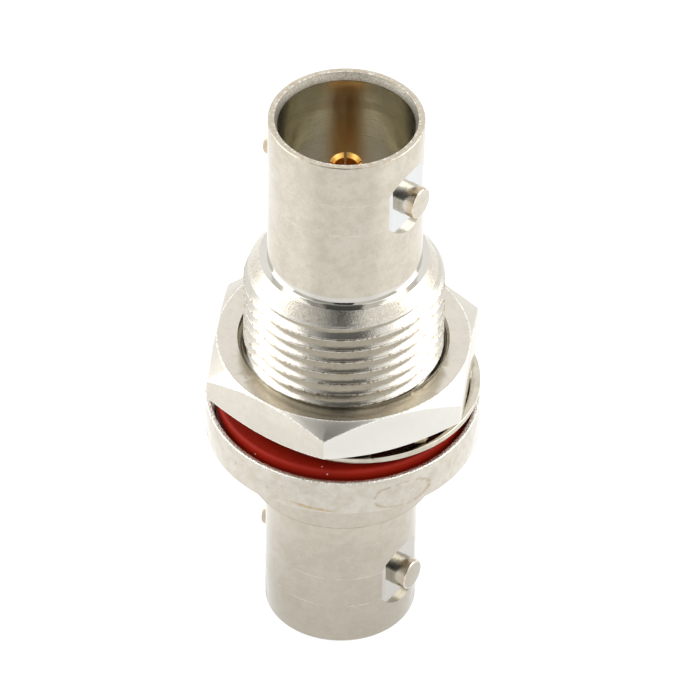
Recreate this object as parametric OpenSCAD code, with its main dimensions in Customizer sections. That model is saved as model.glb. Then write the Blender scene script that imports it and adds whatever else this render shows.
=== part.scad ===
// Double-ended bayonet jack for a panel: two coaxial sockets back to back on one
// axis, a threaded middle, a flange with a rubber gasket, a lock washer and a nut.
// It stands on its lower rim. The axis is +Z and the origin is the centre of that rim.

/* [Overall] */
// Height from the lower rim to the upper rim
overall_h = 39.4; // [38.6:0.1:41]

/* [Jack barrels] */
// Outside diameter of a barrel
barrel_d = 9.6; // [9.5:0.05:9.8]
// Diameter of the socket's bore
socket_d = 8.36; // [8.1:0.01:8.38]
// Depth of the socket below its rim
socket_depth = 8.4; // [8:0.1:8.8]
// Diameter of the wider mouth of the bore
mouth_d = 8.42; // [8.4:0.01:8.55]
// Depth at which the mouth starts to narrow
mouth_depth = 2; // [1.5:0.1:2.5]
// Inside diameter of the flat lip on the rim
lip_d = 8.8; // [8.7:0.05:9]
// Depth of the bevel between the lip and the mouth
lip_bevel_h = 0.55; // [0.3:0.05:0.8]

/* [Bayonet lugs] */
// Size over both lugs
lug_span = 11; // [10.9:0.05:11.2]
// Diameter of a lug
lug_d = 2; // [1.9:0.05:2.1]
// Distance from the rim to a lug's centre
lug_from_rim = 4.2; // [4:0.1:4.6]
// Direction of the lugs, turned from the front towards +X
lug_turn = 57; // [0:1:180]
// Diameter of the flat milled round a lug
spot_face_d = 4.6; // [4:0.1:5]
// Depth of that flat below the barrel's surface
spot_face_depth = 0.3; // [0.1:0.05:0.35]

/* [Threaded body] */
// Outside diameter of the thread
thread_d = 12.5; // [12.4:0.05:12.7]
// Height at which the thread's end face lies
thread_top_z = 28.45; // [28:0.05:29]
// Height of the bevel at the end of the thread
thread_bevel_h = 1.5; // [1.2:0.05:1.7]
// Radial size of that bevel
thread_bevel_r = 1; // [0.8:0.05:1.1]
// Depth of the relief groove between flange and thread
relief_depth = 0.75; // [0.7:0.05:0.9]
// Height at which the thread starts
thread_start_z = 18.8; // [18.7:0.1:19]
// Distance from one thread ridge to the next
thread_pitch = 0.907; // [0.8:0.001:1.1]
// Depth of the thread's grooves
thread_depth = 0.55; // [0.4:0.05:0.6]

/* [Flange and collar] */
// Distance that the flange stands out past the nut's flats
flange_margin = 0.675; // [0.5:0.025:1]
// Height of the flange's underside
flange_z = 14.5; // [14:0.1:14.8]
// Height of the flange's rim
flange_rim_z = 17.15; // [17:0.05:17.3]
// Width of the rim round the gasket's recess
rim_w = 0.35; // [0.3:0.05:0.5]
// Height of the recess's floor
recess_floor_z = 16; // [15.9:0.1:16.2]
// Diameter of the collar below the flange
collar_d = 12; // [11.6:0.1:12.4]
// Height of the collar's lower edge
collar_z = 10.85; // [10.6:0.05:11.2]

/* [Gasket] */
// Radial gap between the gasket and the rim round it
gasket_gap = 0.3; // [0.2:0.05:0.4]
// Height of the gasket's top face
gasket_top_z = 17.6; // [17.5:0.05:17.65]
// Radius of the gasket's upper edges
gasket_edge_r = 0.2; // [0.1:0.05:0.3]

/* [Lock washer] */
// Distance that the washer's edge lies inside the nut's flats
washer_inset = 0.25; // [0.15:0.05:0.35]
// Thickness of the sheet
washer_t = 0.42; // [0.35:0.01:0.45]
// Width of the plain ring outside the teeth
washer_band_w = 0.75; // [0.6:0.05:0.8]
// Radial gap between the thread and the tips of the teeth
tooth_gap = 0.2; // [0.15:0.05:0.3]
// Number of teeth
tooth_count = 12; // [10:1:14]
// Width of a tooth
tooth_w = 2; // [1.6:0.1:2.1]
// Twist of a tooth out of the ring's plane, in degrees
tooth_twist = 25; // [15:1:26]
// Gap left where the loose washer, pushed towards +X, leans on the relief groove
washer_lean_gap = 0.05; // [0.03:0.01:0.5]

/* [Hex nut] */
// Thickness of the nut's wall between the thread and a flat
nut_wall = 1.7; // [1.5:0.05:2]
// Gap between the washer's teeth and the nut
nut_gap = 0.07; // [0.06:0.01:1]
// Thickness of the nut
nut_t = 2.85; // [2.4:0.05:3]
// Turn of the nut about its axis, in degrees
nut_turn = -7; // [-30:1:30]
// Distance that the flat ring at each end lies inside the nut's flats
nut_face_inset = 0.05; // [0.05:0.05:0.5]
// Slope of the corner bevels, in degrees
nut_bevel = 30; // [20:1:35]
// Radial gap between the nut's bore and the thread
nut_clearance = 0.05; // [0.03:0.01:0.08]
// Radial size of the bevels at the ends of the nut's bore
nut_bore_bevel = 0.3; // [0.1:0.05:0.4]

/* [Centre contact] */
// Outside diameter of the contact's sockets
contact_d = 1.94; // [1.9:0.01:2]
// Depth of a contact's tip below its rim
contact_recess = 3.5; // [3.2:0.1:4]
// Diameter of the hole for the mating pin
pin_hole_d = 1.36; // [1.34:0.01:1.38]
// Depth of that hole
pin_hole_depth = 5; // [4.6:0.1:5.5]
// Diameter of the flare at the mouth of the hole
flare_d = 1.8; // [1.6:0.05:1.84]
// Width of the slots between the four fingers
slot_w = 0.14; // [0.1:0.01:0.2]
// Length of the slots
slot_h = 4.4; // [3.5:0.1:4.5]
// Turn of the slots about the axis, in degrees
slot_turn = 3.5; // [-45:0.5:45]
// Diameter of the thick middle of the contact
contact_mid_d = 3.2; // [2.8:0.1:3.6]

/* [Insulators] */
// Diameter of the insulators and of the bore that holds them
insulator_d = 7; // [6.8:0.05:7.2]
// Length of an insulator
insulator_h = 4.7; // [4:0.1:4.7]
// Diameter of the opening in the socket's floor
floor_opening_d = 6.4; // [6:0.1:6.6]
// Thickness of the socket's floor
floor_t = 0.85; // [0.6:0.05:1]

/* [Hidden] */

$fn = 128;
nickel = [0.78, 0.76, 0.72];
steel = [0.72, 0.70, 0.66];
gold = [0.93, 0.66, 0.22];
white = [0.94, 0.94, 0.92];
red = [0.55, 0.09, 0.06];

// Depth that a cut runs past the surface it opens
over = 0.5;
nut_af = thread_d + 2 * nut_wall;
flange_d = nut_af + 2 * flange_margin;
recess_d = flange_d - 2 * rim_w;
relief_d = thread_d - 2 * relief_depth;
washer_d = nut_af - 2 * washer_inset;
tooth_circle_d = thread_d + 2 * tooth_gap;
// Sideways shift that brings the washer's teeth up to the relief groove
washer_shift = (tooth_circle_d - relief_d) / 2 - washer_lean_gap;
// Height at which the rear shell's end meets the bottom of the main shell's counterbore
rear_shell_top_z = flange_z + 1;
rim_edge_r = 0.1;
relief_gap = 0.05;
narrowing_h = 0.6;
lug_edge = 0.12;
// Distance from a rim to the insulator behind that socket's floor
insulator_from_rim = socket_depth + floor_t;
tooth_reach = tooth_w / 2 * sin(tooth_twist) + washer_t / 2 * cos(tooth_twist);
washer_mid_z = gasket_top_z + tooth_reach;
nut_z = gasket_top_z + 2 * tooth_reach + nut_gap;
contact_mid_z = insulator_from_rim + insulator_h;

// A shape made for the lower end, turned over to stand at the upper end
module at_upper_end() {
    translate([0, 0, overall_h]) mirror([0, 0, 1]) children();
}

// Space inside a jack, from beyond its lower rim up to the height top_z
module socket_space(top_z) {
    rotate_extrude() polygon([
        [0, -over], [lip_d / 2, -over], [lip_d / 2, 0],
        [mouth_d / 2, lip_bevel_h], [mouth_d / 2, mouth_depth],
        [socket_d / 2, mouth_depth + narrowing_h], [socket_d / 2, socket_depth],
        [floor_opening_d / 2, socket_depth], [floor_opening_d / 2, insulator_from_rim],
        [insulator_d / 2, insulator_from_rim], [insulator_d / 2, top_z], [0, top_z]]);
}

// Children placed along one lug's axis, with their own +Z pointing out of the barrel
module at_lugs() {
    for (side = [0, 180])
        rotate([0, 0, lug_turn + side]) translate([0, 0, lug_from_rim]) rotate([90, 0, 0])
            children();
}

// Flats that a hollow mill leaves round the lugs of the lower barrel
module spot_face_cuts() {
    floor_r = barrel_d / 2 - spot_face_depth;
    at_lugs() translate([0, 0, floor_r]) difference() {
        cylinder(h = lug_span, d = spot_face_d);
        translate([0, 0, -over]) cylinder(h = lug_span + 2 * over, d = lug_d);
    }
}

// The two lugs of the lower barrel, rooted inside its wall
module lugs() {
    root_r = (barrel_d / 2 - spot_face_depth + mouth_d / 2) / 2;
    shank_h = lug_span / 2 - lug_edge - root_r;
    at_lugs() translate([0, 0, root_r]) {
        cylinder(h = shank_h, d = lug_d);
        translate([0, 0, shank_h])
            cylinder(h = lug_edge, d1 = lug_d, d2 = lug_d - 2 * lug_edge);
    }
}

// Solid barrel of the lower jack up to the height top_z, with its lugs
module barrel(top_z) {
    difference() {
        rotate_extrude() polygon([
            [0, 0], [barrel_d / 2 - rim_edge_r, 0], [barrel_d / 2, rim_edge_r],
            [barrel_d / 2, top_z], [0, top_z]]);
        spot_face_cuts();
    }
    lugs();
}

// Threaded middle, flange and collar, turned in one piece
module body_blank() {
    rotate_extrude() polygon([
        [0, collar_z], [collar_d / 2, collar_z], [collar_d / 2, flange_z],
        [flange_d / 2, flange_z], [flange_d / 2, flange_rim_z],
        [recess_d / 2, flange_rim_z], [recess_d / 2, recess_floor_z],
        [relief_d / 2, recess_floor_z], [relief_d / 2, thread_start_z],
        [thread_d / 2, thread_start_z], [thread_d / 2, thread_top_z - thread_bevel_h],
        [thread_d / 2 - thread_bevel_r, thread_top_z], [0, thread_top_z]]);
}

// Grooves between the ridges: each a closed ring, a pitch from the next
module thread_grooves() {
    root_half = thread_pitch / 13;
    edge_half = root_half + thread_depth * tan(30);
    bottom_r = thread_d / 2 - thread_depth;
    // Height at which the end's bevel is as deep as the grooves
    end_z = thread_top_z - thread_bevel_h * (1 - thread_depth / thread_bevel_r);
    groove_count = round((end_z - thread_start_z) / thread_pitch);
    for (i = [0 : groove_count - 1])
        translate([0, 0, thread_start_z + (i + 0.5) * thread_pitch]) rotate_extrude() polygon([
            [bottom_r, -root_half], [thread_d / 2, -edge_half], [thread_d / 2 + over, -edge_half],
            [thread_d / 2 + over, edge_half], [thread_d / 2, edge_half], [bottom_r, root_half]]);
}

module main_shell() {
    color(nickel) difference() {
        union() {
            body_blank();
            at_upper_end() barrel(overall_h - thread_top_z + over);
        }
        thread_grooves();
        at_upper_end() socket_space(overall_h - rear_shell_top_z);
        translate([0, 0, collar_z - over])
            cylinder(h = rear_shell_top_z - collar_z + over, d = barrel_d);
    }
}

module rear_shell() {
    color(nickel) difference() {
        barrel(rear_shell_top_z);
        socket_space(rear_shell_top_z + over);
    }
}

module gasket() {
    inner_r = relief_d / 2 + relief_gap;
    outer_r = recess_d / 2 - gasket_gap;
    edge_z = gasket_top_z - gasket_edge_r;
    color(red) rotate_extrude() {
        difference() {
            translate([inner_r, recess_floor_z])
                square([outer_r - inner_r, gasket_top_z - recess_floor_z]);
            translate([outer_r - gasket_edge_r, edge_z]) square(gasket_edge_r);
        }
        intersection() {
            translate([outer_r - gasket_edge_r, edge_z]) circle(gasket_edge_r);
            translate([outer_r - gasket_edge_r, edge_z]) square(gasket_edge_r);
        }
    }
}

// Ring with twisted teeth inside, seen as it lies: level, and pushed to one side
module lock_washer() {
    band_r = washer_d / 2 - washer_band_w;
    color(steel) translate([washer_shift, 0, washer_mid_z]) {
        difference() {
            cylinder(h = washer_t, d = washer_d, center = true);
            cylinder(h = washer_t + over, r = band_r, center = true);
        }
        for (i = [0 : tooth_count - 1]) rotate([0, 0, i * 360 / tooth_count])
            intersection() {
                rotate([tooth_twist, 0, 0])
                    translate([0, -tooth_w / 2, -washer_t / 2])
                        cube([washer_d / 2, tooth_w, washer_t]);
                difference() {
                    cylinder(h = 3 * tooth_reach, r = band_r + washer_band_w / 4, center = true);
                    cylinder(h = 4 * tooth_reach, d = tooth_circle_d, center = true);
                }
            }
    }
}

module hex_nut() {
    corner_r = nut_af / 2 / cos(30);
    bore_r = thread_d / 2 + nut_clearance;
    face_r = nut_af / 2 - nut_face_inset;
    bevel_drop = (corner_r - face_r) * tan(nut_bevel);
    color(nickel) translate([0, 0, nut_z]) difference() {
        intersection() {
            rotate([0, 0, nut_turn - 90]) cylinder(h = nut_t, r = corner_r, $fn = 6);
            rotate_extrude() polygon([
                [0, 0], [face_r, 0], [corner_r, bevel_drop], [corner_r, nut_t - bevel_drop],
                [face_r, nut_t], [0, nut_t]]);
        }
        rotate_extrude() polygon([
            [0, -over], [bore_r + nut_bore_bevel, -over], [bore_r + nut_bore_bevel, 0],
            [bore_r, nut_bore_bevel], [bore_r, nut_t - nut_bore_bevel],
            [bore_r + nut_bore_bevel, nut_t], [bore_r + nut_bore_bevel, nut_t + over],
            [0, nut_t + over]]);
    }
}

// Slots and pin hole at the lower tip of the contact
module contact_tip_cuts() {
    translate([0, 0, contact_recess]) {
        flare_h = (flare_d - pin_hole_d) / 2;
        translate([0, 0, -over]) cylinder(h = pin_hole_depth + over, d = pin_hole_d);
        cylinder(h = flare_h, d1 = flare_d, d2 = pin_hole_d);
        for (turn = [0, 90]) rotate([0, 0, slot_turn + turn])
            translate([-contact_d, -slot_w / 2, -over]) cube([2 * contact_d, slot_w, slot_h + over]);
    }
}

module center_contact() {
    color(gold) difference() {
        union() {
            translate([0, 0, contact_recess])
                cylinder(h = overall_h - 2 * contact_recess, d = contact_d);
            translate([0, 0, contact_mid_z])
                cylinder(h = overall_h - 2 * contact_mid_z, d = contact_mid_d);
        }
        contact_tip_cuts();
        at_upper_end() contact_tip_cuts();
    }
}

// White bush behind the floor of the lower socket
module insulator() {
    color(white) translate([0, 0, insulator_from_rim]) difference() {
        cylinder(h = insulator_h, d = insulator_d);
        translate([0, 0, -over]) cylinder(h = insulator_h + 2 * over, d = contact_d);
    }
}

module front_insulator() {
    at_upper_end() insulator();
}

module rear_insulator() {
    insulator();
}

main_shell();
rear_shell();
gasket();
lock_washer();
hex_nut();
center_contact();
front_insulator();
rear_insulator();
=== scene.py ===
# Dresses the double-ended panel jack: turned shells, threaded body, nut, lock washer,
# gasket, contact and bushes. Shapes are modelled in millimetres and brought to metres
# when a piece is finished.
import math

import bpy
from mathutils import Matrix, Vector


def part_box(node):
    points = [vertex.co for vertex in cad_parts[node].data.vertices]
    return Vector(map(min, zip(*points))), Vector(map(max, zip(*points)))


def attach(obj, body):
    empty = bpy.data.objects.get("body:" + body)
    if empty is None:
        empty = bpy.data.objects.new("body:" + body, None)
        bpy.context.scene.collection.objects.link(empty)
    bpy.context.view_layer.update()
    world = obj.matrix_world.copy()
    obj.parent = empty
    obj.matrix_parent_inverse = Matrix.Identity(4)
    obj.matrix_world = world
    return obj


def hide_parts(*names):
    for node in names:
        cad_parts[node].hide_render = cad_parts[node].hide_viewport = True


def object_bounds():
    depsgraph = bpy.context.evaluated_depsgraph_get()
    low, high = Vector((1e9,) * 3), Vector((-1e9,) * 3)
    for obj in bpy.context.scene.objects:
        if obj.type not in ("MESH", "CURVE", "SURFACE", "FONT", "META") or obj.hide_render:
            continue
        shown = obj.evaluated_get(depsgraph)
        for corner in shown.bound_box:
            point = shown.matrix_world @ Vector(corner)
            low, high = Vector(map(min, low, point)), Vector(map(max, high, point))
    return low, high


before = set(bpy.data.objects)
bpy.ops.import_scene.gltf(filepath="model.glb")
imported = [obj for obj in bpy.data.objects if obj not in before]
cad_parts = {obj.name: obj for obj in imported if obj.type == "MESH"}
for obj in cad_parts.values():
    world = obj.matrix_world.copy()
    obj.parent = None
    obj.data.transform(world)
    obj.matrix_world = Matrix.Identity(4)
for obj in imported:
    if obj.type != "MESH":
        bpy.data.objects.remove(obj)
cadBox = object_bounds()
mm = 0.001
tiny = 1e-5  # points closer than this, in mm, are one point
cadTop = cadBox[1].z / mm
print("frame loaded, the part is %.1f mm high" % cadTop)


# ---- modelling by hand, in code ----

def putDown():
    if bpy.context.object and bpy.context.object.mode != "OBJECT":
        bpy.ops.object.mode_set(mode="OBJECT")
    bpy.ops.object.select_all(action="DESELECT")


def takeUp(piece):
    putDown()
    piece.select_set(True)
    bpy.context.view_layer.objects.active = piece


def openMesh(piece, kind="VERT", everything=False):
    takeUp(piece)
    bpy.ops.object.mode_set(mode="EDIT")
    bpy.ops.mesh.select_mode(type=kind)
    bpy.ops.mesh.select_all(action="SELECT" if everything else "DESELECT")


def pick(piece, parts, test):
    # selects the faces, edges or points that pass the test, in edit mode
    bpy.ops.object.mode_set(mode="OBJECT")
    for part in getattr(piece.data, parts):
        part.select = bool(test(part))
    bpy.ops.object.mode_set(mode="EDIT")


def heal(piece):
    # merges doubles, then turns all faces outwards
    openMesh(piece, everything=True)
    bpy.ops.mesh.remove_doubles(threshold=tiny)
    bpy.ops.mesh.normals_make_consistent(inside=False)
    putDown()


def applied(piece, kind, **settings):
    takeUp(piece)
    step = piece.modifiers.new(kind.lower(), kind)
    for name, value in settings.items():
        setattr(step, name, value)
    bpy.ops.object.modifier_apply(modifier=step.name)


def combine(piece, other, how="DIFFERENCE"):
    applied(piece, "BOOLEAN", operation=how, solver="EXACT", object=other)
    bpy.data.objects.remove(other, do_unlink=True)


def softened(corners, parts=3, closed=True):
    # corners are (radius, height, rounding); gives a line with rounded corners
    line = []
    for n, (r, z, rounding) in enumerate(corners):
        here = Vector((r, z))
        if not rounding:
            line.append(here)
            continue
        before = Vector(corners[n - 1][:2]) - here
        after = Vector(corners[(n + 1) % len(corners)][:2]) - here
        half = before.angle(after) / 2
        reach = min(rounding / math.tan(half), 0.45 * before.length, 0.45 * after.length)
        radius = reach * math.tan(half)
        before.normalize()
        after.normalize()
        centre = here + (before + after).normalized() * radius / math.sin(half)
        start, end = here + before * reach - centre, here + after * reach - centre
        for k in range(parts + 1):
            line.append(centre + start.lerp(end, k / parts).normalized() * radius)
    return line + line[:1] if closed else line


def drawn(name, line):
    # one point, pulled along the line from corner to corner
    putDown()
    bpy.ops.mesh.primitive_plane_add(size=1, location=(line[0][0], 0, line[0][1]))
    piece = bpy.context.object
    piece.name = name
    bpy.ops.object.transform_apply(location=True, rotation=True, scale=True)
    openMesh(piece, everything=True)
    bpy.ops.mesh.merge(type="CENTER")
    for here, there in zip(line, line[1:]):
        step = (there[0] - here[0], 0, there[1] - here[1])
        bpy.ops.mesh.extrude_vertices_move(TRANSFORM_OT_translate={"value": step})
    return piece


def turned(name, line, steps=192):
    piece = drawn(name, line)
    bpy.ops.mesh.select_all(action="SELECT")
    bpy.ops.mesh.spin(steps=steps, angle=math.tau, center=(0, 0, 0), axis=(0, 0, 1))
    heal(piece)
    return piece


def markFlat(piece, out, far):
    # the milled flat that faces out, far from the axis, keeps crisp edges
    openMesh(piece, "FACE")
    pick(piece, "polygons", lambda f: f.normal.dot(out) > 0.9999
         and abs(f.center.dot(out) - far) < 0.005)
    bpy.ops.mesh.region_to_loop()
    bpy.ops.mesh.mark_sharp()
    putDown()


def finished(piece, body, material, replaced=(), sharp=32):
    openMesh(piece, everything=True)
    bpy.ops.transform.resize(value=(mm, mm, mm), center_override=(0, 0, 0))
    putDown()
    takeUp(piece)
    bpy.ops.object.shade_smooth_by_angle(angle=math.radians(sharp), keep_sharp_edges=True)
    piece.data.materials.clear()
    piece.data.materials.append(material)
    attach(piece, body)
    if replaced:
        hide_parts(*replaced)
    putDown()
    print("%s: %d faces" % (piece.name, len(piece.data.polygons)))
    return piece


# ---- materials from nodes ----

class Wire:
    # a socket to reckon with: sums of wires add Math nodes
    def __init__(self, tree, socket=None):
        self.tree = tree
        self.socket = socket

    def node(self, kind, settings=None, inputs=None, output=0):
        made = self.tree.nodes.new("ShaderNode" + kind)
        for name, value in (settings or {}).items():
            if name == "stops":
                for k, (at, colour) in enumerate(value):
                    points = made.color_ramp.elements
                    stop = points[k] if k < 2 else points.new(at)
                    stop.position, stop.color = at, colour
            else:
                setattr(made, name, value)
        for name, value in (inputs or {}).items():
            if isinstance(value, Wire):
                self.tree.links.new(value.socket, made.inputs[name])
            else:
                made.inputs[name].default_value = value
        if isinstance(output, tuple):
            return [Wire(self.tree, made.outputs[name]) for name in output]
        return Wire(self.tree, made.outputs[output])

    def maths(self, operation, *values):
        return self.node("Math", {"operation": operation}, dict(enumerate(values)))

    def __add__(self, other):
        return self.maths("ADD", self, other)

    def __sub__(self, other):
        return self.maths("SUBTRACT", self, other)

    def __rsub__(self, other):
        return self.maths("SUBTRACT", other, self)

    def __mul__(self, other):
        return self.maths("MULTIPLY", self, other)

    def __truediv__(self, other):
        return self.maths("DIVIDE", self, other)

    def __rtruediv__(self, other):
        return self.maths("DIVIDE", other, self)

    __radd__ = __add__
    __rmul__ = __mul__


def newFinish(name):
    material = bpy.data.materials.new(name)
    material.use_nodes = True
    material.node_tree.nodes.clear()
    return material, Wire(material.node_tree)


def surface(start, **sockets):
    # the Principled shader; socket names are given with _ for spaces
    inputs = {name.replace("_", " "): value for name, value in sockets.items()}
    shader = start.node("BsdfPrincipled", {}, inputs)
    start.node("OutputMaterial", {}, {"Surface": shader}, ())


def ramped(wire, low, high, start=0.0, end=1.0):
    return wire.node("MapRange", {"interpolation_type": "SMOOTHSTEP"},
                     {"Value": wire, "From Min": low, "From Max": high,
                      "To Min": start, "To Max": end})


def between(wire, low, high, soft):
    # 1 from low to high, fading to 0 over soft
    return ramped(wire, low - soft, low) * ramped(wire, high, high + soft, 1, 0)


def blended(share, first, second):
    # share is a wire or a plain number
    maker = share if isinstance(share, Wire) else first
    return maker.node("Mix", {"data_type": "RGBA"}, {0: share, 6: first, 7: second}, 2)


def absolute(wire):
    return wire.maths("ABSOLUTE", wire)


def larger(first, second):
    return first.maths("MAXIMUM", first, second)


def inMillimetres(start):
    place = start.node("TexCoord", {}, {}, "Object")
    return place.node("VectorMath", {"operation": "SCALE"}, {0: place, "Scale": 1000.0})


def stretched(place, x, y, z):
    return place.node("VectorMath", {"operation": "MULTIPLY"}, {0: place, 1: (x, y, z)})


def fromAxis(place):
    flat = stretched(place, 1, 1, 0)
    return flat.node("VectorMath", {"operation": "LENGTH"}, {0: flat}, "Value")


def towards(place, degrees):
    # how far out a point lies in a level direction
    angle = math.radians(degrees)
    return place.node("VectorMath", {"operation": "DOT_PRODUCT"},
                      {0: place, 1: (math.cos(angle), math.sin(angle), 0)}, "Value")


def clouds(place, scale, detail=2.0, roughness=0.5, distortion=0.0):
    return place.node("TexNoise", {}, {"Vector": place, "Scale": scale, "Detail": detail,
                                       "Roughness": roughness, "Distortion": distortion})


def specks(place, scale, size):
    # 1 inside small round spots
    far = place.node("TexVoronoi", {}, {"Vector": place, "Scale": scale}, "Distance")
    return ramped(far, size * 0.6, size, 1, 0)


def pressed(height, strength, distance, under=None):
    inputs = {"Height": height, "Strength": strength, "Distance": distance}
    if under:
        inputs["Normal"] = under
    return height.node("Bump", {}, inputs)


nickelLook = {"colour": (0.635, 0.59, 0.5, 1), "darker": (0.47, 0.43, 0.35, 1),
              "tarnish": (0.3, 0.19, 0.09, 1), "worn": (0.95, 0.93, 0.88, 1), "rough": 0.13,
              "boreColour": (0.68, 0.65, 0.545, 1), "boreRough": 0.22,
              "paintedShade": (0.34, 0.31, 0.26, 1), "dirt": (0.22, 0.14, 0.08, 1)}


def nickelSkin(place, x, y, z, r, rough, mottle):
    # plain satin nickel: its colour, its roughness and the height of its grain
    rings = place.node("CombineXYZ", {}, {"X": r * 14.0 + x * 0.25, "Y": z * 14.0, "Z": y * 0.25})
    turning = clouds(rings, 1.0, 3.0, 0.6)
    broad = clouds(place, 0.55, 3.0, 0.6)
    blotch = clouds(place, 1.7, 4.0, 0.6, 0.4)
    fine = clouds(place, 6.0, 4.0, 0.65)
    tone = ramped(broad * 0.35 + blotch * 0.4 + fine * 0.25, 0.4, 0.62)
    colour = blended(tone * mottle, nickelLook["colour"], nickelLook["darker"])
    warm = ramped(blotch, 0.58, 0.72) * 0.3
    colour = blended(warm, colour, (0.6, 0.5, 0.36, 1))
    colour = blended(specks(place, 0.55, 0.045) * 0.75, colour, nickelLook["dirt"])
    shine = rough + (fine - 0.5) * 0.1 + (turning - 0.5) * 0.06
    return colour, shine, turning * 0.5 + fine * 0.6


def nickelFinish(name, rough=nickelLook["rough"], mottle=0.5, grain=0.5):
    material, start = newFinish(name)
    place = inMillimetres(start)
    x, y, z = place.node("SeparateXYZ", {}, {0: place}, ("X", "Y", "Z"))
    colour, shine, height = nickelSkin(place, x, y, z, fromAxis(place), rough, mottle)
    surface(start, Base_Color=colour, Metallic=1.0, Roughness=shine,
            Normal=pressed(height, 0.2 * grain, 0.00003))
    return material


def lugMarks(colour, shine, x, y, depth, grit, spotty, top):
    # lugs in their milled spots: bright flat, tarnish towards the tip, worn tip edge
    turn = math.radians(jack["lugTurn"])
    along = x * math.sin(turn) - y * math.cos(turn)
    along = absolute(along)
    aside = x * math.cos(turn) + y * math.sin(turn)
    rise = depth - jack["lugFromRim"]
    around = aside * aside + rise * rise
    around = around.maths("SQRT", around)
    milled = ramped(along, 4.38, 4.44) * ramped(around, 2.25, 2.28, 1, 0)
    flat = milled * ramped(around, 1.02, 1.06) * ramped(along, 4.54, 4.6, 1, 0)
    colour = blended(flat * (0.8 if top else 0.35), colour, (0.69, 0.715, 0.73, 1))
    side = milled * ramped(around, 0.85, 0.95) * ramped(around, 1.02, 1.06, 1, 0)
    stained = (0.3, 0.8) if top else (0.1, 0.4)
    colour = blended(side * ramped(along, 4.9, 5.35) * ramped(grit, 0.35, 0.6, *stained), colour,
                     (0.5, 0.36, 0.2, 1))
    tip = side * ramped(along, 5.4, 5.43) * ramped(around, 0.98, 1, 1, 0)
    colour = blended(tip * ramped(spotty, 0.35, 0.6) * 0.6, colour, nickelLook["worn"])
    shine = shine + side * 0.08
    return colour, shine


def threadMarks(colour, shine, rough, z, r, grit, spotty):
    # speckled end, a painted reflection of the ledge on the barrel just above the foot, worn crests
    # and dirt in the grooves; heights are from the lower rim
    cone = (ramped(z, 26.93, 26.97) * ramped(z, 28.42, 28.45, 1, 0)
            * ramped(r + (z - 28.45) / 1.5, 5.17, 5.21))
    colour = blended(cone * ramped(grit, 0.5, 0.62) * 0.5, colour, (0.8, 0.79, 0.76, 1))
    colour = blended(cone * ramped(spotty, 0.6, 0.7) * 0.4, colour, nickelLook["tarnish"])
    shine = shine + cone * 0.08
    # painted reflection: a grey band on the barrel just above the foot, where the wall mirrors the
    # ledge
    foot = between(z, 28.44, 29.0, 0.05) * ramped(r, 5.3, 5.35, 1, 0)
    colour = blended(foot * 0.7, colour, (0.66, 0.65, 0.62, 1))
    shine = shine - foot * 0.04
    inThread = ramped(z, 18.75, 18.8) * ramped(z, 27.6, 27.7, 1, 0)
    colour = blended(inThread * 0.6, colour, (0.63, 0.61, 0.56, 1))
    crest = inThread * ramped(r, 6.17, 6.22)
    colour = blended(crest * ramped(spotty, 0.5, 0.6) * 0.75, colour, nickelLook["tarnish"])
    flank = inThread * ramped(r, 5.6, 5.7) * ramped(r, 6.1, 6.2, 1, 0)
    colour = blended(flank * ramped(spotty, 0.6, 0.7) * 0.25, colour, nickelLook["tarnish"])
    rough = rough + cone * 0.55 + crest * 0.7 + flank * 0.25
    return colour, shine, rough


def flangeMarks(colour, rough, place, x, y, z, r, grit, spotty, broad):
    # worn rim, painted shade on the recess wall, seams and stains
    flange = between(z, 14.5, 17.1, 0.05) * ramped(r, 8.35, 8.45)
    colour = blended(flange * ramped(broad, 0.35, 0.62, 0.38, 0.05), colour,
                     (0.72, 0.7, 0.66, 1))
    flangeRim = ramped(z, 17.05, 17.09) * ramped(r, 8.2, 8.24)
    colour = blended(flangeRim * ramped(grit, 0.46, 0.54), colour, nickelLook["worn"])
    rough = rough + flangeRim * 2.0
    # painted shade on the recess wall inside the flange rim
    shadedWall = between(z, 16.0, 17.05, 0.03) * ramped(r, 8.2, 8.24) * ramped(r, 8.28, 8.3, 1, 0)
    colour = blended(shadedWall * 0.6, colour, (0.3, 0.25, 0.18, 1))
    seam = (ramped(z, 14.56, 14.68, 1, 0) * ramped(r, 8.4, 8.45)
            + ramped(z, 10.93, 11.02, 1, 0) * ramped(r, 5.85, 5.9) * ramped(z, 10.0, 10.1))
    colour = blended(seam * ramped(spotty, 0.35, 0.6, 0.25, 0.85), colour,
                     (0.36, 0.27, 0.17, 1))
    front = ramped(y, -6.4, -6.2, 1, 0) * between(z, 14.5, 17.1, 0.05)
    wobble = (clouds(place, 1.1, 3.0, 0.6) - 0.5) * 0.5
    across, up = (x - 3.75) / 1.75, (z - 15.6) / 0.95
    away = across * across + up * up + wobble
    arc = front * between(away, 0.95, 1.02, 0.16) * ramped(broad, 0.36, 0.54)
    colour = blended(arc * 0.5, colour, (0.4, 0.29, 0.17, 1))
    across, up = (x + 1.85) / 1.45, (z - 14.76 + x * 0.1) / 0.14
    away = across * across + up * up + wobble * 2.0
    colour = blended(front * ramped(away, 0.2, 1.2, 1, 0) * ramped(spotty, 0.3, 0.55) * 0.7,
                     colour, (0.46, 0.3, 0.12, 1))
    return colour, rough


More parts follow.
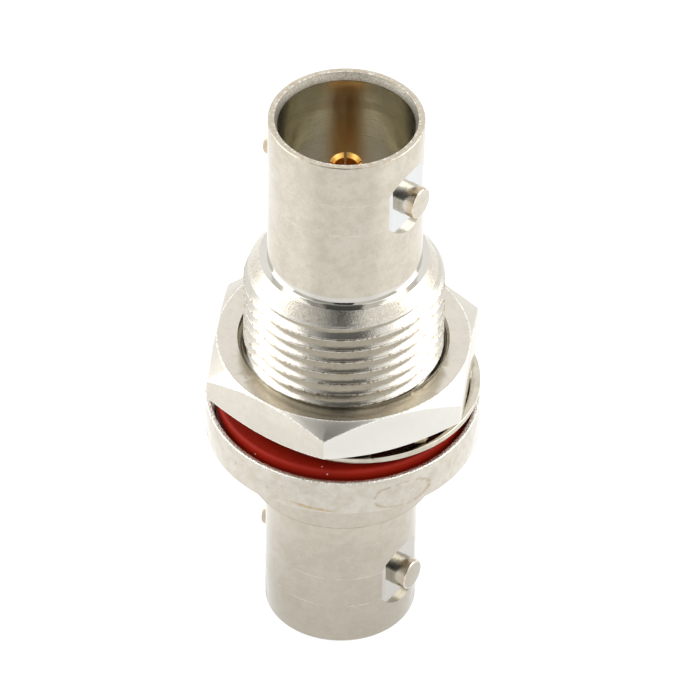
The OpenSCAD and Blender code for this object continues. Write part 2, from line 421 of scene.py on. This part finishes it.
def shellFinish(name, top=None):
    # top is the rim's height where the jack opens upwards
    material, start = newFinish(name)
    look = nickelLook
    place = inMillimetres(start)
    x, y, z = place.node("SeparateXYZ", {}, {0: place}, ("X", "Y", "Z"))
    r = fromAxis(place)
    depth = top - z if top else z
    grit = clouds(place, 9.0, 3.0, 0.7)
    spotty = clouds(place, 3.6, 3.0, 0.65)
    broad = clouds(place, 1.6, 3.0, 0.6)
    colour, shine, height = nickelSkin(place, x, y, z, r, look["rough"], 0.55)
    low = ramped(z, 1, 17, 0.6, 0.05)  # painted shade, darker towards the lower end and a little more on the collar under the flange
    colour = blended(low + between(z, 10.9, 14.45, 0.05) * 0.1, colour, look["paintedShade"])
    # painted highlight: the band's two edges are lightened in the worn colour, as lines of light
    # along the steps
    edges = between(depth, 3.0, 3.05, 0.03) + between(depth, 5.35, 5.4, 0.03)
    outside = ramped(r, 4.7, 4.74) * ramped(r, 4.82, 4.85, 1, 0)
    colour = blended(edges * outside * ramped(broad, 0.4, 0.6) * 0.18, colour, look["worn"])
    # bore, lip and rim
    bore = ramped(r, 4.22, 4.28, 1, 0) * ramped(depth, 0.54, 0.58)
    colour = blended(ramped(grit, 0.55, 0.68) * 0.3, colour, look["darker"])
    colour = blended(bore, colour, look["boreColour"])
    boring = clouds(stretched(place, 0.2, 0.2, 11.0), 1.0, 2.0)
    shine = shine * (1 - bore) + bore * look["boreRough"]
    lip = ramped(r, 4.2, 4.23) * ramped(r, 4.41, 4.43, 1, 0) * ramped(depth, 0.56, 0.6, 1, 0)
    colour = blended(lip * ramped(grit, 0.4, 0.62), colour, (0.8, 0.77, 0.7, 1))
    shine = shine + lip * 0.3
    rim = ramped(depth, 0.05, 0.1, 1, 0) * ramped(r, 4.37, 4.4)
    colour = blended(rim * ramped(spotty, 0.46, 0.6) * 0.6, colour, (0.5, 0.4, 0.29, 1))
    inner = rim * ramped(r, 4.38, 4.42) * ramped(r, 4.5, 4.56, 1, 0)
    colour = blended(inner * ramped(spotty, 0.46, 0.38) * 0.6, colour, look["worn"])
    shine = shine + rim * 0.12
    rough = lip * 0.5 + rim * 0.6
    colour, shine = lugMarks(colour, shine, x, y, depth, grit, spotty, top)
    if top:
        colour, shine, rough = threadMarks(colour, shine, rough, z, r, grit, spotty)
        colour, rough = flangeMarks(colour, rough, place, x, y, z, r, grit, spotty, broad)
    surface(start, Base_Color=colour, Metallic=1.0, Roughness=shine,
            Normal=pressed(grit * rough + boring * bore * 0.3, 0.5, 0.00006,
                           pressed(height, 0.1, 0.00003)))
    return material


def nutFinish(name, flatR, turn, faceR, slope, ends):
    # satin nickel with worn edges where the flats meet the bevels, and a painted highlight on one
    # flat
    material, start = newFinish(name)
    place = inMillimetres(start)
    x, y, z = place.node("SeparateXYZ", {}, {0: place}, ("X", "Y", "Z"))
    r = fromAxis(place)
    colour, shine, height = nickelSkin(place, x, y, z, r, 0.19, 0.4)
    colour = blended(0.3, colour, (0.74, 0.72, 0.67, 1))
    grit = clouds(place, 7.0, 3.0, 0.65)
    out = larger(absolute(towards(place, turn)), absolute(towards(place, turn + 60)))
    out = larger(out, absolute(towards(place, turn + 120)))
    way = towards(place, turn + 300)  # the flat facing the brightest light, which gets a painted highlight
    colour = blended(ramped(way, flatR - 0.03, flatR - 0.01) * 0.6, colour, (0.87, 0.86, 0.82, 1))
    middle, half = (ends[0] + ends[1]) / 2, (ends[1] - ends[0]) / 2
    high = absolute(z - middle)
    drop = math.tan(math.radians(slope))
    onBevel = high + (r - faceR) * drop - half
    edge = ramped(out, flatR - 0.07, flatR - 0.03) * ramped(onBevel, -0.08, -0.04)
    circle = ramped(onBevel, -0.04, -0.01) * between(r, faceR - 0.04, faceR + 0.04, 0.03)
    worn = larger(edge, circle)
    colour = blended(worn * ramped(grit, 0.44, 0.52), colour, nickelLook["worn"])
    bevel = ramped(onBevel, -0.05, -0.02) * ramped(r, faceR, faceR + 0.05)
    colour = blended(bevel * ramped(grit, 0.4, 0.65) * 0.4, colour, (0.68, 0.68, 0.66, 1))
    surface(start, Base_Color=colour, Metallic=1.0, Roughness=shine + bevel * 0.13 + worn * 0.1,
            Normal=pressed(grit * (bevel * 0.25 + worn), 0.4, 0.00005,
                           pressed(height, 0.08, 0.00003)))
    return material


def rubberFinish(name):
    material, start = newFinish(name)
    place = inMillimetres(start)
    broad = clouds(place, 0.5, 3.0, 0.6)
    colour = blended(broad, (0.3, 0.012, 0.003, 1), (0.2, 0.006, 0.0015, 1))
    dust = specks(place, 0.75, 0.045)
    colour = blended(dust * 0.8, colour, (0.8, 0.66, 0.6, 1))
    grain = clouds(place, 5.0, 3.0, 0.6)
    surface(start, Base_Color=colour, Roughness=0.45 + broad * 0.14, Specular_IOR_Level=0.14,
            Normal=pressed(grain, 0.12, 0.00004))
    return material


def goldFinish(name):
    material, start = newFinish(name)
    place = inMillimetres(start)
    tone = clouds(place, 2.5, 3.0, 0.6)
    colour = blended(tone, (1.0, 0.62, 0.2, 1), (0.85, 0.45, 0.1, 1))
    surface(start, Base_Color=colour, Metallic=1.0, Roughness=0.3 + tone * 0.12,
            Normal=pressed(clouds(place, 12.0, 2.0), 0.05, 0.00002))
    return material


def plasticFinish(name):
    material, start = newFinish(name)
    place = inMillimetres(start)
    tone = clouds(place, 1.2, 3.0, 0.6)
    rings = place.node("CombineXYZ", {}, {"X": fromAxis(place) * 12.0})
    colour = blended(tone, (0.86, 0.86, 0.83, 1), (0.78, 0.77, 0.73, 1))
    surface(start, Base_Color=colour, Roughness=0.42 + tone * 0.12,
            Normal=pressed(clouds(rings, 1.0, 2.0), 0.1, 0.00003))
    return material


# ---- camera and light ----

cameraSet = {"place": (0.414, -344.57, 327.3), "lens": 380.65, "sensor": 36,
             "lookDown": 41.675, "lean": 0.847}
floorSet = {"size": 8, "front": 0.64, "side": 0.88, "foot": 0.12,
            "sideTilt": 0.8, "sideFrom": -10, "sideTo": 30, "footFrom": 8, "footTo": 26}
lightSet = {"sky": 1.15, "boxGlow": 2.0, "boxSize": (300, 460), "boxAway": 420,
            "boxWays": ((-0.83, 0.06, 0.55), (0.83, 0.1, 0.55)),
            "flagSize": (620, 832), "flagMiddle": (-170, -340, 383), "flagLift": 60,
            "flagDark": (-300, -30), "flagSoft": 12, "flagSlant": 90,
            "flagSlantSpan": (0.08, 0.42), "flagShadeSpan": (-0.09, 0.37),
            "flagLow": (0.05, 0.055, 0.06, 1), "flagHigh": (0.17, 0.17, 0.165, 1),
            "flagSide": (0.6, 0.6, 0.6, 1)}


def facing(way):
    # the turn that points a card's +Z back at the part
    return (-Vector(way)).to_track_quat("Z", "Y").to_euler()


def makeCamera():
    s = cameraSet
    lens = bpy.data.cameras.new("camera")
    lens.lens, lens.sensor_width = s["lens"], s["sensor"]
    lens.clip_start, lens.clip_end = 0.01, 20
    camera = bpy.data.objects.new("camera", lens)
    bpy.context.scene.collection.objects.link(camera)
    camera.location = Vector(s["place"]) * mm
    tilt = Matrix.Rotation(math.radians(90 - s["lookDown"]), 4, "X")
    camera.rotation_euler = (tilt @ Matrix.Rotation(math.radians(s["lean"]), 4, "Z")).to_euler()
    bpy.context.scene.camera = camera


def makeFloor():
    s = floorSet
    putDown()
    bpy.ops.mesh.primitive_plane_add(size=s["size"])
    floor = bpy.context.object
    floor.name = "floor"
    material, start = newFinish("paleFloor")
    place = inMillimetres(start)
    x, y = place.node("SeparateXYZ", {}, {0: place}, ("X", "Y"))
    side = ramped(absolute(x) + y * s["sideTilt"], s["sideFrom"], s["sideTo"])
    glow = s["front"] + side * (s["side"] - s["front"])
    glow = glow + ramped(fromAxis(place), s["footFrom"], s["footTo"], s["foot"], 0)
    surface(start, Base_Color=(0.25, 0.25, 0.25, 1), Roughness=0.9, Specular_IOR_Level=0.0,
            Emission_Color=glow, Emission_Strength=1.0)
    floor.data.materials.append(material)


def makeLights():
    s = lightSet
    world = bpy.data.worlds.new("studio")
    bpy.context.scene.world = world
    world.use_nodes = True
    world.node_tree.nodes.clear()
    sky = Wire(world.node_tree)
    glow = sky.node("Background", {}, {"Color": (1, 1, 1, 1), "Strength": s["sky"]})
    sky.node("OutputWorld", {}, {"Surface": glow}, ())
    for n, way in enumerate(s["boxWays"]):
        way = Vector(way).normalized()
        light = bpy.data.lights.new("softbox%d" % n, "AREA")
        light.shape = "RECTANGLE"
        light.size, light.size_y = s["boxSize"][0] * mm, s["boxSize"][1] * mm
        light.energy = s["boxGlow"] * math.pi * light.size * light.size_y
        box = bpy.data.objects.new(light.name, light)
        bpy.context.scene.collection.objects.link(box)
        box.location = way * s["boxAway"] * mm
        box.rotation_euler = way.to_track_quat("Z", "Y").to_euler()
    # the dark room behind the camera, which only bright metal sees
    putDown()
    bpy.ops.mesh.primitive_plane_add(size=1, location=Vector(s["flagMiddle"]) * mm)
    flag = bpy.context.object
    flag.name = "darkFlag"
    flag.scale = (s["flagSize"][0] * mm, s["flagSize"][1] * mm, 1)
    lift = math.radians(s["flagLift"])
    flag.rotation_euler = facing((0, -math.cos(lift), math.sin(lift)))
    material, start = newFinish("darkFlag")
    place = start.node("TexCoord", {}, {}, "Object")
    across, up = place.node("SeparateXYZ", {}, {0: place}, ("X", "Y"))
    across = across * s["flagSize"][0]
    low, high = s["flagDark"]
    soft = s["flagSoft"]
    slanted = across + ramped(up, *s["flagSlantSpan"]) * s["flagSlant"]
    dark = ramped(slanted, low - soft, low) * ramped(across, high, high + soft, 1, 0)
    inner = blended(ramped(up, *s["flagShadeSpan"]), s["flagLow"], s["flagHigh"])
    surface(start, Base_Color=(0, 0, 0, 1), Roughness=1.0, Specular_IOR_Level=0.0,
            Emission_Color=blended(dark, s["flagSide"], inner), Emission_Strength=1.0)
    flag.data.materials.append(material)
    flag.visible_camera = flag.visible_diffuse = flag.visible_shadow = False
    display = bpy.context.scene.view_settings
    display.view_transform, display.look = "Standard", "None"


makeCamera()
makeFloor()
makeLights()
print("camera, floor and light are set")


# ---- the two sockets and their barrels ----

jack = {"barrelR": 4.8, "rimRound": 0.1, "lipR": 4.4, "mouthR": 4.21, "mouthBevel": 0.55,
        "mouthDepth": 2.0, "boreR": 4.18, "boreDepth": 8.4, "narrowing": 0.6,
        "openingR": 3.2, "floorT": 0.85, "bushR": 3.5,
        "bandFrom": 3.05, "bandTo": 5.35, "bandDepth": 0.01,
        "lugFromRim": 4.2, "lugR": 1.0, "lugReach": 5.5, "lugRound": 0.12, "lugTurn": 57,
        "spotR": 2.3, "spotDepth": 0.3}


def jackCorners(level):
    # from the barrel's foot over the rim to the bush seat; level gives the height
    # of a depth below the rim
    s = jack
    sunk = s["barrelR"] - s["bandDepth"]
    step = 0.04
    return [
        (s["barrelR"], level(s["bandTo"] + step), 0.02), (sunk, level(s["bandTo"]), 0.02),
        (sunk, level(s["bandFrom"]), 0.02), (s["barrelR"], level(s["bandFrom"] - step), 0.02),
        (s["barrelR"], level(0), s["rimRound"]), (s["lipR"], level(0), 0.04),
        (s["mouthR"], level(s["mouthBevel"]), 0.08), (s["mouthR"], level(s["mouthDepth"]), 0.2),
        (s["boreR"], level(s["mouthDepth"] + s["narrowing"]), 0.2),
        (s["boreR"], level(s["boreDepth"]), 0.1), (s["openingR"], level(s["boreDepth"]), 0.05),
        (s["openingR"], level(s["boreDepth"] + s["floorT"]), 0),
        (s["bushR"], level(s["boreDepth"] + s["floorT"]), 0)]


def addLugs(piece, height):
    s = jack
    floorR = s["barrelR"] - s["spotDepth"]
    for side in (0, 180):
        turn = math.radians(s["lugTurn"] + side)
        out = Vector((math.sin(turn), -math.cos(turn), 0))
        aim = out.to_track_quat("Z", "Y").to_euler()
        putDown()
        bpy.ops.mesh.primitive_cylinder_add(vertices=96, radius=s["spotR"], depth=2,
                                            location=out * (floorR + 1) + Vector((0, 0, height)),
                                            rotation=aim)
        cutter = bpy.context.object
        bpy.ops.object.transform_apply(location=True, rotation=True, scale=True)
        combine(piece, cutter)
        root = (floorR + s["mouthR"]) / 2
        length = s["lugReach"] - root
        putDown()
        bpy.ops.mesh.primitive_cylinder_add(vertices=72, radius=s["lugR"], depth=length)
        lug = bpy.context.object
        openMesh(lug, "EDGE")
        top = length / 2
        pick(lug, "edges", lambda e: all(lug.data.vertices[v].co.z > top - 0.01 for v in e.vertices))
        bpy.ops.mesh.bevel(offset=s["lugRound"], segments=4, affect="EDGES")
        putDown()
        lug.rotation_euler = aim
        lug.location = out * (root + length / 2) + Vector((0, 0, height))
        takeUp(lug)
        bpy.ops.object.transform_apply(location=True, rotation=True, scale=True)
        combine(piece, lug, "UNION")
        markFlat(piece, out, floorR)


# ---- main shell: collar, flange, threaded middle and upper barrel ----

body = {"joinZ": 15.5, "collarR": 6.0, "collarZ": 10.85, "flangeR": 8.625, "flangeZ": 14.5,
        "rimZ": 17.15, "recessR": 8.275, "recessZ": 16.0, "reliefR": 5.5,
        "threadR": 6.25, "threadFrom": 18.8, "threadTo": 28.45, "threadBevel": (1.0, 1.5),
        "footRound": 0.07}
thread = {"pitch": 25.4 / 28, "rootR": 5.66, "rootHalf": 0.07, "from": 17.9, "turns": 13,
          "startTurn": 144, "steps": 96,
          "lips": ((-0.06, 0.37), (-0.015, 0.405), (0.01, 0.44), (0.4, 0.44))}


def threadCutter():
    # the groove's section, screwed up round the axis; lips are (distance past the crest,
    # half the groove's width there)
    t, crest = thread, body["threadR"]
    half = [(t["rootR"], t["rootHalf"])] + [(crest + past, wide) for past, wide in t["lips"]]
    line = [(r, -h) for r, h in reversed(half)] + half
    line = line + line[:1]
    cutter = drawn("threadCutter", [(r, t["from"] + h) for r, h in line])
    bpy.ops.mesh.select_all(action="SELECT")
    bpy.ops.mesh.remove_doubles(threshold=tiny)
    bpy.ops.transform.rotate(value=-math.radians(t["startTurn"]), orient_axis="Z",
                             center_override=(0, 0, 0))
    putDown()
    applied(cutter, "SCREW", angle=math.tau, screw_offset=t["pitch"], iterations=t["turns"],
            steps=t["steps"], render_steps=t["steps"], use_merge_vertices=True)
    openMesh(cutter, "EDGE")
    bpy.ops.mesh.select_non_manifold()
    bpy.ops.mesh.fill_holes(sides=0)
    bpy.ops.mesh.select_all(action="SELECT")
    bpy.ops.mesh.normals_make_consistent(inside=False)
    putDown()
    return cutter


def makeMainShell(material):
    s = body
    corners = [
        (jack["bushR"], s["joinZ"], 0), (jack["barrelR"], s["joinZ"], 0),
        (jack["barrelR"], s["collarZ"] + 0.05, 0), (jack["barrelR"] + 0.05, s["collarZ"], 0),
        (s["collarR"], s["collarZ"], 0.1), (s["collarR"], s["flangeZ"], 0.06),
        (s["flangeR"], s["flangeZ"], 0.16), (s["flangeR"], s["rimZ"], 0.08),
        (s["recessR"], s["rimZ"], 0.06), (s["recessR"], s["recessZ"], 0.1),
        (s["reliefR"], s["recessZ"], 0.1), (s["reliefR"], s["threadFrom"], 0.1),
        (s["threadR"] - 0.4, s["threadFrom"], 0.05), (s["threadR"], s["threadFrom"] + 0.3, 0.05),
        (s["threadR"], s["threadTo"] - s["threadBevel"][1], 0.04),
        (s["threadR"] - s["threadBevel"][0], s["threadTo"], 0.05),
        (jack["barrelR"], s["threadTo"], s["footRound"])]
    piece = turned("mainShell", softened(corners + jackCorners(lambda d: cadTop - d)))
    addLugs(piece, cadTop - jack["lugFromRim"])
    combine(piece, threadCutter())
    return finished(piece, "shell", material, ["main_shell"])


def makeRearShell(material):
    corners = [(jack["bushR"], body["joinZ"], 0), (jack["barrelR"], body["joinZ"], 0)]
    piece = turned("rearShell", softened(corners + jackCorners(lambda d: d)))
    addLugs(piece, jack["lugFromRim"])
    return finished(piece, "shell", material, ["rear_shell"])


makeMainShell(shellFinish("turnedNickel", cadTop))
makeRearShell(shellFinish("turnedNickelRear"))


# ---- gasket ----

gasketSet = {"innerR": 5.55, "outerR": 7.975, "bottomZ": 16.0, "topZ": 17.6, "round": 0.22}


def makeGasket(material):
    s = gasketSet
    # one more ring of points halfway over the flat top
    middle = (s["innerR"] + s["outerR"]) / 2
    corners = [(s["innerR"], s["bottomZ"], 0.1), (s["outerR"], s["bottomZ"], 0.1),
               (s["outerR"], s["topZ"], s["round"]), (middle, s["topZ"], 0),
               (s["innerR"], s["topZ"], s["round"])]
    piece = turned("redGasket", softened(corners, 5), 144)
    return finished(piece, "shell", material, ["gasket"])


makeGasket(rubberFinish("redSilicone"))


# ---- lock washer ----

washerSet = {"outerR": 7.7, "thick": 0.42, "band": 0.75, "shift": 0.9, "teeth": 12,
             "toothW": 2.0, "toothInR": 6.45, "twist": 25, "round": 0.05}


def makeWasher(material):
    s = washerSet
    low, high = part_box("lock_washer")
    midZ = (low.z + high.z) / 2 / mm
    innerR, half = s["outerR"] - s["band"], s["thick"] / 2
    ring = turned("lockWasher", softened([
        (innerR, -half, 0.03), (s["outerR"], -half, s["round"]), (s["outerR"], half, s["round"]),
        (innerR, half, 0.03)]), 180)
    length = innerR + s["band"] / 4 - s["toothInR"]
    putDown()
    bpy.ops.mesh.primitive_cube_add(size=1, location=(s["toothInR"] + length / 2, 0, 0),
                                    scale=(length, s["toothW"], s["thick"]))
    tooth = bpy.context.object
    bpy.ops.object.transform_apply(location=True, rotation=True, scale=True)
    openMesh(tooth, everything=True)
    bpy.ops.transform.rotate(value=-math.radians(s["twist"]), orient_axis="X",
                             center_override=(0, 0, 0))
    putDown()
    applied(tooth, "BEVEL", width=0.04, segments=2, limit_method="ANGLE")
    for n in range(s["teeth"]):
        putDown()
        copy = tooth.copy()
        copy.data = tooth.data.copy()
        bpy.context.scene.collection.objects.link(copy)
        copy.rotation_euler = (0, 0, math.tau * n / s["teeth"])
        takeUp(copy)
        bpy.ops.object.transform_apply(location=True, rotation=True, scale=True)
        combine(ring, copy, "UNION")
    bpy.data.objects.remove(tooth, do_unlink=True)
    openMesh(ring, everything=True)
    bpy.ops.transform.translate(value=(s["shift"], 0, midZ))
    putDown()
    return finished(ring, "washer", material, ["lock_washer"])


makeWasher(nickelFinish("washerSteel", 0.12, 0.65, 0.3))


# ---- hex nut ----

nutSet = {"flatR": 7.95, "turn": -7, "faceInset": 0.05, "slope": 30, "boreR": 6.3,
          "boreBevel": 0.3, "edge": 0.04}


def makeNut(material, base, top):
    s = nutSet
    cornerR = s["flatR"] / math.cos(math.radians(30))
    faceR = s["flatR"] - s["faceInset"]
    past = cornerR + 0.2
    drop = (past - faceR) * math.tan(math.radians(s["slope"]))
    putDown()
    bpy.ops.mesh.primitive_cylinder_add(vertices=6, radius=cornerR, depth=top - base,
                                        location=(0, 0, (base + top) / 2),
                                        rotation=(0, 0, math.radians(s["turn"])))
    nut = bpy.context.object
    nut.name = "hexNut"
    bpy.ops.object.transform_apply(location=True, rotation=True, scale=True)
    blank = turned("nutBlank", softened([
        (s["boreR"] + s["boreBevel"], base, 0), (faceR, base, 0), (past, base + drop, 0),
        (past, top - drop, 0), (faceR, top, 0), (s["boreR"] + s["boreBevel"], top, 0),
        (s["boreR"], top - s["boreBevel"], 0), (s["boreR"], base + s["boreBevel"], 0)]))
    combine(nut, blank, "INTERSECT")
    heal(nut)
    applied(nut, "BEVEL", width=s["edge"], segments=2, limit_method="ANGLE",
            angle_limit=math.radians(24))
    return finished(nut, "nut", material, ["hex_nut"])


low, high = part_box("hex_nut")
ends = (low.z / mm, high.z / mm)
makeNut(nutFinish("nutNickel", nutSet["flatR"], nutSet["turn"],
                  nutSet["flatR"] - nutSet["faceInset"], nutSet["slope"], ends), *ends)


# ---- centre contact ----

contactSet = {"r": 0.97, "tipDepth": 3.5, "holeR": 0.68, "holeDepth": 5.0, "flareR": 0.9,
              "slotW": 0.14, "slotH": 4.4, "slotTurn": 3.5, "midR": 1.6, "midFrom": 13.95}


def makeContact(material):
    s = contactSet
    flare = s["flareR"] - s["holeR"]
    tip, deep = s["tipDepth"], s["tipDepth"] + s["holeDepth"]
    half = [(0, deep + 0.3, 0), (s["holeR"], deep, 0.05), (s["holeR"], tip + flare, 0.05),
            (s["flareR"], tip, 0.02), (s["r"], tip, 0.03), (s["r"], s["midFrom"], 0),
            (s["midR"], s["midFrom"], 0.05)]
    corners = half + [(r, cadTop - z, soft) for r, z, soft in reversed(half)]
    piece = turned("centreContact", softened(corners, 3, closed=False), 96)
    over = 0.5  # how far a slot's cutter runs past the tip
    high = s["slotH"] + over
    for end in (tip - over, cadTop - tip + over - s["slotH"] - over):
        for turn in (0, 90):
            putDown()
            bpy.ops.mesh.primitive_cube_add(
                size=1, location=(0, 0, end + high / 2), scale=(3 * s["r"], s["slotW"], high),
                rotation=(0, 0, math.radians(s["slotTurn"] + turn)))
            slot = bpy.context.object
            bpy.ops.object.transform_apply(location=True, rotation=True, scale=True)
            combine(piece, slot)
    return finished(piece, "shell", material, ["center_contact"])


makeContact(goldFinish("goldPlate"))


# ---- bushes: the solids of the part, in turned white plastic ----

white = plasticFinish("whitePlastic")
for name in ("front_insulator", "rear_insulator"):
    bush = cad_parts[name]
    bush.data.materials.clear()
    bush.data.materials.append(white)
